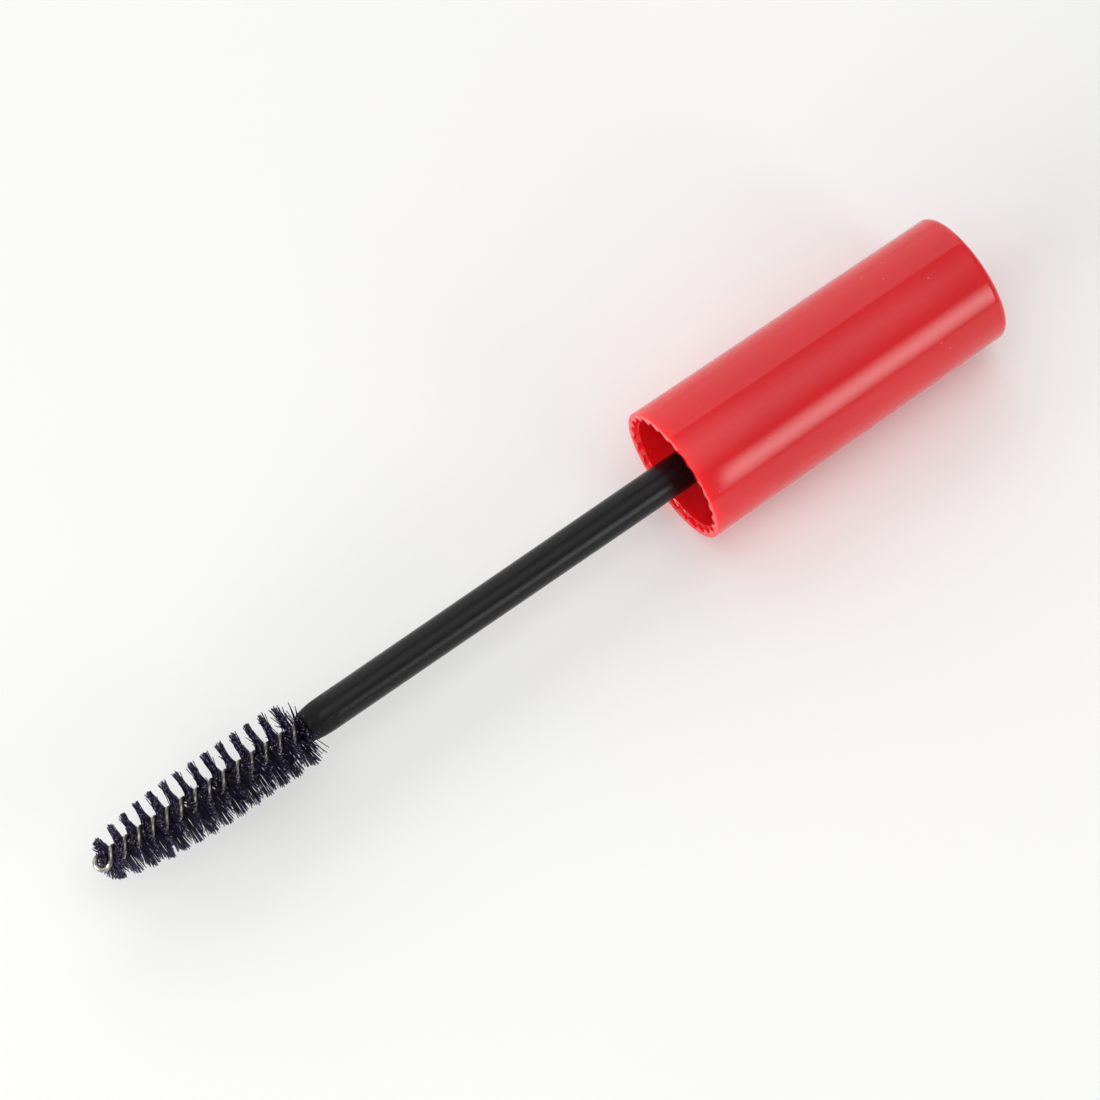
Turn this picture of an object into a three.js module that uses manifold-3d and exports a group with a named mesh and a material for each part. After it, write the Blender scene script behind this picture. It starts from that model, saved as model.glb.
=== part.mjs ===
// Mascara applicator: a threaded screw cap, a moulded rod snapped into it, a sealing washer,
// and a twisted-wire brush whose fibres are held between the two strands of one folded wire.
// Units are millimetres, +Z up. The applicator lies on its side with its axis along X:
// the brush tip at -X, the closed end of the cap at +X, and the cap resting on Z = 0.

import * as THREE from "three";
import { mergeVertices } from "three/addons/utils/BufferGeometryUtils.js";
import Module from "manifold-3d";

const wasm = await Module();
wasm.setup();

// ---- Driving dimensions -------------------------------------------------------------------
// Places along the wand are measured from the plane of the cap's mouth: positive into the
// cap, negative towards the brush tip.
const CAP_LENGTH = 40;
const BRUSH_REACH = 76;
const MOUTH_RADIUS = 8;
const TOP_RADIUS = 7.7;
const TOP_EDGE_ROUND = 0.8;
const LIP_EDGE_ROUND = 0.12;
const END_WALL = 1.4;
const GATE_RADIUS = 1.1; // shallow dimple that the moulding gate leaves on the closed end
const GATE_DEPTH = 0.3;

const SKIRT_RADIUS = 6.8; // smooth bore just inside the mouth
const SKIRT_DEPTH = 5;
const THREAD_MINOR_RADIUS = 6.15;
const THREAD_ROOT_RADIUS = 6.65;
const THREAD_PITCH = 3;
const THREAD_TURNS = 1.75;
const THREAD_START = 6.2;

const TOOTH_COUNT = 24; // ratchet teeth inside the lip, which hold the cap in its mould
const TOOTH_ROOT_RADIUS = 7.55;
const TOOTH_TIP_RADIUS = SKIRT_RADIUS - 0.05;
const TOOTH_DEPTH = 0.5;
const TOOTH_SLOPE_SHARE = 0.78; // share of each tooth's pitch that its sloping flank takes
const TOOTH_PHASE = THREE.MathUtils.degToRad(-5.5);

const SEAT_DEPTH = 14; // where the rod's head plate meets the washer
const SEAT_RADIUS = 6.3;
const PLUG_BORE_RADIUS = 5.95;
const SNAP_DEPTH = 17.5;
const SNAP_HEIGHT = 0.25;

const ROD_RADIUS = 2.06; // at the mouth
const ROD_NOSE_RADIUS = 2; // where the nose starts to round
const NOSE_LENGTH = 2.6;
const NOSE_TIP_RADIUS = 1.72;
const WIRE_BORE_RADIUS = 1.25;
const WIRE_BORE_DEPTH = 9;
const HEAD_FILLET = 0.5;
const HEAD_PLATE = 1.4;
const PLUG_RADIUS = 5.8;
const PLUG_WALL = 0.95;
const PLUG_LENGTH = 9;

const WASHER_THICKNESS = 1;
const FIT_GAP = 0.12;

const BRUSH_LENGTH = 27;
const TWIST_PITCH = 3.61; // one full left-handed turn of the wire
const TWIST_EASE = 1; // length over which the twist runs out into the loop
const TUFT_PLACE = -50.45; // a place along the wand where the fibres lie at TUFT_ANGLE
const TUFT_ANGLE = THREE.MathUtils.degToRad(-19.4);
const WIRE_RADIUS = 0.3;
const STRAND_RADIUS = 0.78; // from the brush axis to the middle of a strand
const LOOP_REACH = 0.85;
const SHANK_LENGTH = 8; // twisted wire inside the rod

const BEND_REACH = 0.36; // how far the wire has bent off the wand's axis by its tip
const BEND_ANGLE = THREE.MathUtils.degToRad(160.4); // the side it bends to
const BEND_LENGTH = 22.8;
const BEND_INSIDE = 1.5; // how far inside the rod the bend starts

const BRUSH_RADIUS = 3.9;
const BRUSH_NOSE_LENGTH = 15;
const BRUSH_TIP_SHARE = 0.323; // brush radius at its very tip, as a share of the full radius
const TRIM_SHIFT = 0.3; // how far off the wand's axis the fibres are trimmed at the tip
const BUNDLE_SPREAD = THREE.MathUtils.degToRad(40);
const BUNDLE_WAIST = 0.2; // half thickness of the fibres where the wire grips them
const BUNDLE_GAP = 0.04;
const ROD_TO_FIBRES = 0.2;
const LOOP_TO_FIBRES = 0.15; // how far the fibres run on past the end of the twist

const CAP_SIDES = 72;
const ROD_SIDES = 36;

// ---- Materials ----------------------------------------------------------------------------
function material(color, roughness, metalness = 0) {
  return new THREE.MeshStandardMaterial({ color, roughness, metalness });
}

const redPolypropylene = material(0xd8373c, 0.28);
const blackAcetal = material(0x1c1c1e, 0.38);
const foamedPolyethylene = material(0x2b282a, 0.8);
const stainlessWire = material(0xb4b0a8, 0.3, 1);
const nylonFibre = material(0x191528, 0.5);

// ---- Shape helpers ------------------------------------------------------------------------
function solidFrom(geometry) {
  const bare = geometry.clone();
  bare.deleteAttribute("normal");
  bare.deleteAttribute("uv");
  const merged = mergeVertices(bare, 1e-5);
  const mesh = new wasm.Mesh({
    numProp: 3,
    vertProperties: Float32Array.from(merged.attributes.position.array),
    triVerts: Uint32Array.from(merged.index.array),
  });
  return new wasm.Manifold(mesh);
}

function geometryFrom(solid) {
  const mesh = solid.getMesh();
  const geometry = new THREE.BufferGeometry();
  geometry.setAttribute("position", new THREE.BufferAttribute(mesh.vertProperties, 3));
  geometry.setIndex(new THREE.BufferAttribute(mesh.triVerts, 1));
  geometry.computeVertexNormals();
  return geometry;
}

function at(radius, along) {
  return new THREE.Vector2(radius, along);
}

// A round corner about a centre, between two angles in degrees.
function corner(centreRadius, centreAlong, size, from, to, steps) {
  const points = [];
  for (let step = 0; step <= steps; step += 1) {
    const angle = THREE.MathUtils.degToRad(from + ((to - from) * step) / steps);
    points.push(at(centreRadius + size * Math.cos(angle), centreAlong + size * Math.sin(angle)));
  }
  return points;
}

function closedShape(corners) {
  const shape = new THREE.Shape();
  shape.setFromPoints(corners);
  shape.closePath();
  return shape;
}

// ---- Cap ----------------------------------------------------------------------------------
// The outline of the pockets inside the lip. Each one slopes in from its root to the skirt
// bore and steps straight out again.
function toothOutline() {
  const pitch = (2 * Math.PI) / TOOTH_COUNT;
  const corners = [];
  for (let tooth = 0; tooth < TOOTH_COUNT; tooth += 1) {
    const start = TOOTH_PHASE + tooth * pitch;
    const end = start + pitch * TOOTH_SLOPE_SHARE;
    corners.push(at(TOOTH_ROOT_RADIUS * Math.cos(start), TOOTH_ROOT_RADIUS * Math.sin(start)));
    corners.push(at(TOOTH_TIP_RADIUS * Math.cos(end), TOOTH_TIP_RADIUS * Math.sin(end)));
  }
  return closedShape(corners);
}

function toothCutter() {
  const overshoot = 1;
  const settings = { depth: TOOTH_DEPTH + overshoot, bevelEnabled: false };
  const cutter = new THREE.ExtrudeGeometry(toothOutline(), settings);
  cutter.translate(0, 0, -overshoot);
  cutter.rotateX(-Math.PI / 2);
  return cutter;
}

// The middle of the right-handed thread's ridge. It sinks into the wall at both ends.
class ThreadHelix extends THREE.Curve {
  getPoint(share) {
    const fadeShare = 0.12;
    const sink = 0.7;
    const ridgeRadius = THREAD_MINOR_RADIUS + 0.4;
    const fade = Math.min(1, share / fadeShare, (1 - share) / fadeShare);
    const radius = ridgeRadius + (1 - fade) * sink;
    const angle = share * THREAD_TURNS * 2 * Math.PI;
    const along = THREAD_START + share * THREAD_TURNS * THREAD_PITCH;
    return new THREE.Vector3(radius * Math.cos(angle), along, -radius * Math.sin(angle));
  }
}

function threadRidge() {
  const sides = 6;
  const size = 0.42;
  const corners = [];
  for (let side = 0; side < sides; side += 1) {
    const angle = (side * 2 * Math.PI) / sides;
    corners.push(at(size * Math.cos(angle), size * Math.sin(angle)));
  }
  const steps = Math.round(24 * THREAD_TURNS);
  return new THREE.ExtrudeGeometry(closedShape(corners), { steps, extrudePath: new ThreadHelix() });
}

function capGeometry() {
  const floor = CAP_LENGTH - END_WALL;
  const seatEnd = SEAT_DEPTH + HEAD_PLATE;
  const threadEnd = SEAT_DEPTH - WASHER_THICKNESS - 1;
  const profile = [
    at(0, floor),
    at(PLUG_BORE_RADIUS - 0.6, floor),
    at(PLUG_BORE_RADIUS, floor - 0.6),
    at(PLUG_BORE_RADIUS, SNAP_DEPTH + 0.8),
    at(PLUG_BORE_RADIUS + SNAP_HEIGHT, SNAP_DEPTH + 0.4),
    at(PLUG_BORE_RADIUS + SNAP_HEIGHT, SNAP_DEPTH - 0.4),
    at(PLUG_BORE_RADIUS, SNAP_DEPTH - 0.8),
    at(PLUG_BORE_RADIUS, seatEnd),
    at(SEAT_RADIUS, seatEnd - 0.35),
    at(SEAT_RADIUS, threadEnd + 0.6),
    at(THREAD_ROOT_RADIUS, threadEnd),
    at(THREAD_ROOT_RADIUS, SKIRT_DEPTH + 0.3),
    at(SKIRT_RADIUS, SKIRT_DEPTH),
    at(SKIRT_RADIUS, 0),
    ...corner(MOUTH_RADIUS - LIP_EDGE_ROUND, LIP_EDGE_ROUND, LIP_EDGE_ROUND, -90, 0, 2),
    ...corner(TOP_RADIUS - TOP_EDGE_ROUND, CAP_LENGTH - TOP_EDGE_ROUND, TOP_EDGE_ROUND, 0, 90, 4),
    at(GATE_RADIUS, CAP_LENGTH),
    at(GATE_RADIUS * 0.7, CAP_LENGTH - GATE_DEPTH),
    at(0, CAP_LENGTH - GATE_DEPTH),
  ];
  const shell = solidFrom(new THREE.LatheGeometry(profile, CAP_SIDES));
  const ridged = shell.add(solidFrom(threadRidge()));
  return geometryFrom(ridged.subtract(solidFrom(toothCutter())));
}

// ---- Rod and washer -----------------------------------------------------------------------
// The rod, its head plate and the hollow plug behind the plate are one moulding.
function rodGeometry() {
  const nose = BRUSH_LENGTH - BRUSH_REACH;
  const boreEnd = nose + WIRE_BORE_DEPTH;
  const plateRadius = SEAT_RADIUS - FIT_GAP;
  const plateEnd = SEAT_DEPTH + HEAD_PLATE;
  const plugEnd = SEAT_DEPTH + PLUG_LENGTH;
  const plugInner = PLUG_RADIUS - PLUG_WALL;
  const midNoseRadius = NOSE_TIP_RADIUS + (ROD_NOSE_RADIUS - NOSE_TIP_RADIUS) * 0.75;
  const profile = [
    at(0, boreEnd + 0.5),
    at(WIRE_BORE_RADIUS, boreEnd),
    at(WIRE_BORE_RADIUS, nose),
    at(NOSE_TIP_RADIUS - 0.25, nose),
    at(NOSE_TIP_RADIUS, nose + 0.25),
    at(midNoseRadius, nose + NOSE_LENGTH / 2),
    at(ROD_NOSE_RADIUS, nose + NOSE_LENGTH),
    at(ROD_RADIUS, 0),
    ...corner(ROD_RADIUS + HEAD_FILLET, SEAT_DEPTH - HEAD_FILLET, HEAD_FILLET, 180, 90, 2),
    at(plateRadius, SEAT_DEPTH),
    at(plateRadius, plateEnd - 0.55),
    at(PLUG_RADIUS, plateEnd),
    at(PLUG_RADIUS, SNAP_DEPTH - 0.6),
    at(PLUG_RADIUS + SNAP_HEIGHT, SNAP_DEPTH - 0.2),
    at(PLUG_RADIUS + SNAP_HEIGHT, SNAP_DEPTH + 0.2),
    at(PLUG_RADIUS, SNAP_DEPTH + 0.6),
    at(PLUG_RADIUS, plugEnd - 0.4),
    at(PLUG_RADIUS - 0.35, plugEnd),
    at(plugInner, plugEnd),
    at(plugInner, plateEnd + 0.4),
    at(plugInner - 0.4, plateEnd),
    at(0, plateEnd),
  ];
  return new THREE.LatheGeometry(profile, ROD_SIDES);
}

function washerGeometry() {
  const inner = ROD_RADIUS + HEAD_FILLET + FIT_GAP;
  const outer = SEAT_RADIUS - FIT_GAP;
  const top = SEAT_DEPTH - FIT_GAP;
  const bottom = top - WASHER_THICKNESS;
  const profile = [
    at(inner, bottom),
    at(outer, bottom),
    at(outer, top),
    at(inner, top),
    at(inner, bottom),
  ];
  return new THREE.LatheGeometry(profile, ROD_SIDES);
}

// ---- Brush --------------------------------------------------------------------------------
const TWIST_END = LOOP_REACH + WIRE_RADIUS - BRUSH_REACH;

// The angle of the fibres at a place along the wand. The strands stand square to it, and the
// twist runs out evenly into the loop.
function fibreAngle(along) {
  const easeStart = TWIST_END + TWIST_EASE / 2;
  const past = Math.min(TWIST_EASE, Math.max(0, easeStart - along));
  const eased = past - past ** 2 / (2 * TWIST_EASE);
  const run = Math.max(along, easeStart) - eased - TUFT_PLACE;
  return TUFT_ANGLE + (2 * Math.PI * run) / TWIST_PITCH;
}

// How far the wire has bent off the wand's axis at a place along it.
function bend(along) {
  const past = BRUSH_LENGTH - BRUSH_REACH + BEND_INSIDE - along;
  const share = Math.min(1, Math.max(0, past / BEND_LENGTH));
  return (BEND_REACH * (1 - Math.cos(Math.PI * share))) / 2;
}

// The point at a distance and an angle from the middle of the bent wire.
function beside(along, distance, angle) {
  const off = bend(along);
  const across = distance * Math.cos(angle) + off * Math.cos(BEND_ANGLE);
  const up = distance * Math.sin(angle) + off * Math.sin(BEND_ANGLE);
  return new THREE.Vector3(across, along, up);
}

// One wire: along one strand from its shank, round the loop at the tip, back along the other.
class FoldedWire extends THREE.Curve {
  constructor() {
    super();
    this.arcLengthDivisions = 1200;
    this.shankEnd = BRUSH_LENGTH - BRUSH_REACH + SHANK_LENGTH;
    this.strandLength = this.shankEnd - TWIST_END;
    this.strandShare = 0.49;
  }

  getPoint(share) {
    const returning = share > 0.5;
    const half = returning ? 1 - share : share;
    if (half < this.strandShare) {
      const along = this.shankEnd - (this.strandLength * half) / this.strandShare;
      return this.strandPoint(along, returning ? -STRAND_RADIUS : STRAND_RADIUS);
    }
    const turn = ((0.5 - share) / (0.5 - this.strandShare)) * (Math.PI / 2);
    return this.strandPoint(TWIST_END - LOOP_REACH * Math.cos(turn), STRAND_RADIUS * Math.sin(turn));
  }

  strandPoint(along, distance) {
    return beside(along, distance, fibreAngle(along) + Math.PI / 2);
  }
}

function wireGeometry() {
  const sides = 6;
  const corners = [];
  for (let side = 0; side < sides; side += 1) {
    const angle = (side * 2 * Math.PI) / sides;
    corners.push(at(WIRE_RADIUS * Math.cos(angle), WIRE_RADIUS * Math.sin(angle)));
  }
  const path = new FoldedWire();
  const stepsPerTurn = 14;
  const steps = Math.round((2 * stepsPerTurn * path.strandLength) / TWIST_PITCH);
  return new THREE.ExtrudeGeometry(closedShape(corners), { steps, extrudePath: path });
}

// How far the fibres reach from the wire at a place and an angle. They are trimmed to a bullet
// nose that runs into a cylinder, and the nose sits a little off the wand's axis.
function fibreReach(along, angle) {
  const share = Math.min(1, Math.max(0, (along + BRUSH_REACH) / BRUSH_NOSE_LENGTH));
  const swell = Math.sqrt(1 - (1 - share) ** 2);
  const trimRadius = BRUSH_RADIUS * (BRUSH_TIP_SHARE + (1 - BRUSH_TIP_SHARE) * swell);
  const trimCentre = TRIM_SHIFT * (1 - share) - bend(along);
  const turned = angle - BEND_ANGLE;
  const off = trimCentre * Math.sin(turned);
  return trimCentre * Math.cos(turned) + Math.sqrt(trimRadius ** 2 - off ** 2);
}

// Every fibre passes between the two strands and stands out on both sides, so the section
// of a bundle across the axis is a bow tie with its waist between the strands.
function bowTie() {
  const waistReach = BUNDLE_WAIST / Math.tan(BUNDLE_SPREAD);
  const rimShares = [-1, -0.5, 0, 0.5, 1];
  const rim = rimShares.map((share) => {
    const angle = share * BUNDLE_SPREAD;
    return at(BRUSH_RADIUS * Math.cos(angle), BRUSH_RADIUS * Math.sin(angle));
  });
  const opposite = rim.map((spot) => at(-spot.x, -spot.y));
  return closedShape([
    ...rim,
    at(waistReach, BUNDLE_WAIST),
    at(-waistReach, BUNDLE_WAIST),
    ...opposite,
    at(-waistReach, -BUNDLE_WAIST),
    at(waistReach, -BUNDLE_WAIST),
  ]);
}

// One bundle between two places along the wand: the bow tie, twisted with the wire and
// trimmed to the brush's outline.
function bundleGeometry(from, to) {
  const steps = Math.max(3, Math.round((8 * (to - from)) / (TWIST_PITCH / 2)));
  const settings = { depth: to - from, steps, bevelEnabled: false };
  const geometry = new THREE.ExtrudeGeometry(bowTie(), settings);
  const spots = geometry.attributes.position;
  const gripRadius = BUNDLE_WAIST / Math.sin(BUNDLE_SPREAD);
  for (let index = 0; index < spots.count; index += 1) {
    const along = from + spots.getZ(index);
    const reach = Math.hypot(spots.getX(index), spots.getY(index));
    const angle = fibreAngle(along) - Math.atan2(spots.getY(index), spots.getX(index));
    const trim = reach > gripRadius * 1.1 ? fibreReach(along, angle) / BRUSH_RADIUS : 1;
    const spot = beside(along, reach * trim, angle);
    spots.setXYZ(index, spot.x, spot.y, spot.z);
  }
  return geometry;
}

// ---- Assembly -----------------------------------------------------------------------------
function piece(name, geometry, finish) {
  const mesh = new THREE.Mesh(geometry, finish);
  mesh.name = name;
  return mesh;
}

function brush() {
  const group = new THREE.Group();
  group.add(piece("twisted_wire", wireGeometry(), stainlessWire));
  const first = BRUSH_LENGTH - BRUSH_REACH - ROD_TO_FIBRES;
  const last = TWIST_END - LOOP_TO_FIBRES;
  const halfTurn = TWIST_PITCH / 2;
  const count = Math.ceil((first - last) / halfTurn);
  for (let index = 0; index < count; index += 1) {
    const to = first - index * halfTurn;
    const from = Math.max(last, to - halfTurn + BUNDLE_GAP);
    const name = `bristle_bundle_${String(index + 1).padStart(2, "0")}`;
    group.add(piece(name, bundleGeometry(from, to), nylonFibre));
  }
  return group;
}

const applicator = new THREE.Group();
const wand = new THREE.Group();
wand.add(piece("cap", capGeometry(), redPolypropylene));
wand.add(piece("rod", rodGeometry(), blackAcetal));
wand.add(piece("seal_washer", washerGeometry(), foamedPolyethylene));
wand.add(brush());
wand.rotation.z = -Math.PI / 2;
wand.position.set((BRUSH_REACH - CAP_LENGTH) / 2, 0, MOUTH_RADIUS);
applicator.add(wand);

export default applicator;
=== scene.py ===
"""Finished look of a mascara applicator: screw cap, moulded rod, sealing washer and twisted-wire
brush.

Everything is in metres. The wand's axis lies along X, with the brush tip at -X and the closed end
of the cap at +X, and the cap rests on Z = 0. Angles about the axis run from +Y towards +Z.
"""

import math
import random

import bmesh
import bpy
from bpy.props import FloatProperty, FloatVectorProperty, IntProperty, PointerProperty
from mathutils import Matrix, Vector


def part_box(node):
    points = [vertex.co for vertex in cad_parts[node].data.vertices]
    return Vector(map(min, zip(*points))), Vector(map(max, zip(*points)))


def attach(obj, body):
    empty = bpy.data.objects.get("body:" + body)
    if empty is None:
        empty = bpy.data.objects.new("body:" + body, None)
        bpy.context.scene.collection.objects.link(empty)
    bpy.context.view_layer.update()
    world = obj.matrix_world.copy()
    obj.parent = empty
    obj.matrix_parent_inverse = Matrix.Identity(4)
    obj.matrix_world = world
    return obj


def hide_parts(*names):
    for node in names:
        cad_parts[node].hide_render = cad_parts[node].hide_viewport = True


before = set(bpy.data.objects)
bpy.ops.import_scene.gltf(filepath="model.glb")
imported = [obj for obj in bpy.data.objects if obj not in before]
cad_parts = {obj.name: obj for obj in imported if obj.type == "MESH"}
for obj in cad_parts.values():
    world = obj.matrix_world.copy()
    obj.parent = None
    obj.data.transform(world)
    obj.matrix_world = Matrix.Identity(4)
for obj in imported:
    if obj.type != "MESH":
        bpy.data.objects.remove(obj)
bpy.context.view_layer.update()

bl_info = {
    "name": "Mascara Applicator",
    "version": (1, 0, 0),
    "blender": (4, 5, 0),
    "location": "3D View > Sidebar > Applicator",
    "description": "Builds a screw cap with its rod and twisted-wire brush, and a small studio",
    "category": "Add Mesh",
}

MM = 0.001

# ---- Places that come from the frame ------------------------------------------------------
CAP_LOW, CAP_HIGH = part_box("cap")
WASHER_LOW, WASHER_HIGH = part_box("seal_washer")

MOUTH = CAP_LOW.x
CAP_LENGTH = CAP_HIGH.x - CAP_LOW.x
CAP_RADIUS = (CAP_HIGH.z - CAP_LOW.z) / 2
AXIS_HEIGHT = (CAP_HIGH.z + CAP_LOW.z) / 2
ROD_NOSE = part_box("rod")[0].x
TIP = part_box("twisted_wire")[0].x
TUFT_NODES = sorted(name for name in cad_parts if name.startswith("bristle_bundle_"))


def linear(hex_colour):
    """Linear RGB of an sRGB hex colour."""
    shares = [int(hex_colour[start:start + 2], 16) / 255 for start in (1, 3, 5)]
    return tuple(s / 12.92 if s <= 0.04045 else ((s + 0.055) / 1.055) ** 2.4 for s in shares)


# ---- Settings -----------------------------------------------------------------------------
class CapSettings(bpy.types.PropertyGroup):
    """Sizes and finish of the screw cap"""

    top_radius: FloatProperty(
        name="Closed end radius", description="Outer radius at the closed end, after the draft",
        default=7.7 * MM, min=1 * MM, subtype="DISTANCE", unit="LENGTH")
    top_round: FloatProperty(
        name="End round", description="Edge round of the closed end",
        default=0.8 * MM, min=0.1 * MM, subtype="DISTANCE", unit="LENGTH")
    lip_round: FloatProperty(
        name="Lip round", description="Edge round of the open lip",
        default=0.12 * MM, min=0.01 * MM, subtype="DISTANCE", unit="LENGTH")
    skirt_radius: FloatProperty(
        name="Skirt bore radius", description="Radius of the smooth bore just inside the mouth",
        default=6.8 * MM, min=1 * MM, subtype="DISTANCE", unit="LENGTH")
    tooth_count: IntProperty(
        name="Teeth", description="Ratchet teeth inside the lip", default=24, min=3)
    tooth_root_radius: FloatProperty(
        name="Tooth root radius", description="Radius where each pocket is widest",
        default=7.55 * MM, min=1 * MM, subtype="DISTANCE", unit="LENGTH")
    tooth_depth: FloatProperty(
        name="Tooth depth", description="How deep the pockets go into the lip",
        default=0.5 * MM, min=0.1 * MM, subtype="DISTANCE", unit="LENGTH")
    thread_pitch: FloatProperty(
        name="Thread pitch", description="Advance of the inner thread in one turn",
        default=3 * MM, min=0.5 * MM, subtype="DISTANCE", unit="LENGTH")
    thread_turns: FloatProperty(
        name="Thread turns", description="Turns of the inner thread", default=1.75, min=0.25)
    colour: FloatVectorProperty(
        name="Colour", description="Colour of the moulded plastic", subtype="COLOR", size=3,
        min=0, max=1, default=linear("#D91D25"))
    roughness: FloatProperty(
        name="Roughness", description="Roughness of the polished surface",
        default=0.08, min=0, max=1, subtype="FACTOR")


class RodSettings(bpy.types.PropertyGroup):
    """Sizes and finish of the rod and its washer"""

    radius: FloatProperty(
        name="Rod radius", description="Radius of the rod at the mouth of the cap",
        default=2.06 * MM, min=0.5 * MM, subtype="DISTANCE", unit="LENGTH")
    nose_radius: FloatProperty(
        name="Nose radius", description="Radius where the nose starts to round",
        default=2 * MM, min=0.5 * MM, subtype="DISTANCE", unit="LENGTH")
    nose_length: FloatProperty(
        name="Nose length", description="Length of the rounded nose",
        default=2.6 * MM, min=0.2 * MM, subtype="DISTANCE", unit="LENGTH")
    nose_tip_radius: FloatProperty(
        name="Nose tip radius", description="Radius of the nose at its face",
        default=1.72 * MM, min=0.3 * MM, subtype="DISTANCE", unit="LENGTH")
    colour: FloatVectorProperty(
        name="Rod colour", description="Colour of the moulded rod", subtype="COLOR", size=3,
        min=0, max=1, default=linear("#0C0B0D"))
    roughness: FloatProperty(
        name="Rod roughness", description="Roughness of the satin surface",
        default=0.25, min=0, max=1, subtype="FACTOR")
    washer_colour: FloatVectorProperty(
        name="Washer colour", description="Colour of the foam washer", subtype="COLOR", size=3,
        min=0, max=1, default=linear("#2B282A"))


class BrushSettings(bpy.types.PropertyGroup):
    """Sizes and finish of the twisted wire and its fibres"""

    wire_radius: FloatProperty(
        name="Wire radius", description="Radius of the folded wire",
        default=0.3 * MM, min=0.05 * MM, subtype="DISTANCE", unit="LENGTH")
    strand_radius: FloatProperty(
        name="Strand radius", description="From the brush axis to the middle of a strand",
        default=0.78 * MM, min=0.1 * MM, subtype="DISTANCE", unit="LENGTH")
    twist_pitch: FloatProperty(
        name="Twist pitch", description="Length of one full turn of the wire",
        default=3.61 * MM, min=0.5 * MM, subtype="DISTANCE", unit="LENGTH")
    brush_radius: FloatProperty(
        name="Brush radius", description="Radius of the brush where it is full",
        default=3.9 * MM, min=0.5 * MM, subtype="DISTANCE", unit="LENGTH")
    fibre_diameter: FloatProperty(
        name="Fibre diameter", description="Diameter of one fibre",
        default=0.1 * MM, min=0.02 * MM, subtype="DISTANCE", unit="LENGTH")
    fibres_per_tuft: IntProperty(
        name="Fibres per tuft", description="Fibres in half a turn of the wire", default=102, min=4)
    spread: FloatProperty(
        name="Spread", description="How far fibres fan out to each side of the twist",
        default=math.radians(18), min=0, subtype="ANGLE", unit="ROTATION")
    seed: IntProperty(
        name="Seed", description="Start of the random draws for the fibres", default=11, min=0)
    wire_colour: FloatVectorProperty(
        name="Wire colour", description="Colour of the drawn wire", subtype="COLOR", size=3,
        min=0, max=1, default=linear("#B5B1A8"))
    fibre_colour: FloatVectorProperty(
        name="Fibre colour", description="Colour of most fibres", subtype="COLOR", size=3,
        min=0, max=1, default=linear("#0E0B12"))
    fibre_tint: FloatVectorProperty(
        name="Fibre tint", description="Colour of the palest fibres", subtype="COLOR", size=3,
        min=0, max=1, default=linear("#332A5A"))


class StudioSettings(bpy.types.PropertyGroup):
    """Camera, floor and lights"""

    azimuth: FloatProperty(
        name="Azimuth", description="Camera direction round the object, 0 looks along +Y",
        default=math.radians(-36.83), subtype="ANGLE", unit="ROTATION")
    elevation: FloatProperty(
        name="Elevation", description="Camera height above the horizon",
        default=math.radians(66.04), subtype="ANGLE", unit="ROTATION")
    distance: FloatProperty(
        name="Distance", description="From the camera to the point it looks at",
        default=0.7088, min=0.1, subtype="DISTANCE", unit="LENGTH")
    lens: FloatProperty(
        name="Focal length", description="Focal length on a 36 mm sensor",
        default=216.75, min=10, subtype="DISTANCE_CAMERA", unit="CAMERA")
    floor_colour: FloatVectorProperty(
        name="Floor colour", description="Colour of the floor", subtype="COLOR", size=3,
        min=0, max=1, default=linear("#FAFAF9"))
    light_scale: FloatProperty(
        name="Light level", description="Scales every light together", default=1.0, min=0)


# ---- Shapes -------------------------------------------------------------------------------
def arc(along, radius, size, start, end, steps):
    """Points of a round corner about a centre, between two angles in degrees."""
    angles = [math.radians(start + (end - start) * step / steps) for step in range(steps + 1)]
    return [(along + size * math.cos(angle), radius + size * math.sin(angle)) for angle in angles]


def spun(outline, segments):
    """A closed shell made by turning an outline of (along, radius) points about the axis."""
    shape = bmesh.new()
    spots = [shape.verts.new((along, 0, radius)) for along, radius in outline]
    lines = [shape.edges.new(pair) for pair in zip(spots, spots[1:])]
    bmesh.ops.spin(
        shape, geom=spots + lines, cent=(0, 0, 0), axis=(1, 0, 0), dvec=(0, 0, 0),
        angle=math.tau, steps=segments, use_merge=True)
    bmesh.ops.remove_doubles(shape, verts=shape.verts, dist=1e-7)
    bmesh.ops.recalc_face_normals(shape, faces=shape.faces)
    return shape


def reshape(shape, rule):
    """Moves every vertex in or out from the axis. rule(along, radius, angle) gives its radius."""
    for spot in shape.verts:
        radius = math.hypot(spot.co.y, spot.co.z)
        if radius < 1e-9:
            continue
        share = rule(spot.co.x, radius, math.atan2(spot.co.z, spot.co.y)) / radius
        spot.co.y *= share
        spot.co.z *= share


def finish_piece(shape, name, material, nodes, crease=35):
    """Turns a bmesh about the axis into a finished piece in its place, riding on the root body."""
    bmesh.ops.translate(shape, verts=shape.verts, vec=(0, 0, AXIS_HEIGHT))
    if any(len(edge.link_faces) != 2 for edge in shape.edges):
        raise RuntimeError(f"{name} isn't a closed shell")
    mesh = bpy.data.meshes.new(name)
    for face in shape.faces:
        face.smooth = True
    shape.to_mesh(mesh)
    shape.free()
    mesh.set_sharp_from_angle(angle=math.radians(crease))
    mesh.materials.append(material)
    piece = bpy.data.objects.new(name, mesh)
    bpy.context.scene.collection.objects.link(piece)
    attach(piece, "root")
    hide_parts(*nodes)
    return piece


# ---- Materials ----------------------------------------------------------------------------
DUST_COLOUR = "#E66A68"
RESIDUE_COLOUR = "#050405"
RESIDUE_FULL = 4 * MM  # how far from the rod's nose the residue is complete
RESIDUE_END = 14 * MM
NOSE_COVER_LENGTH = 6 * MM  # stretch at the nose where the residue covers more
# Pale colour painted on the fibres' cut ends: a painted glint, not a colour of the nylon.
FIBRE_END_GLINT_COLOUR = "#8B8498"


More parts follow.
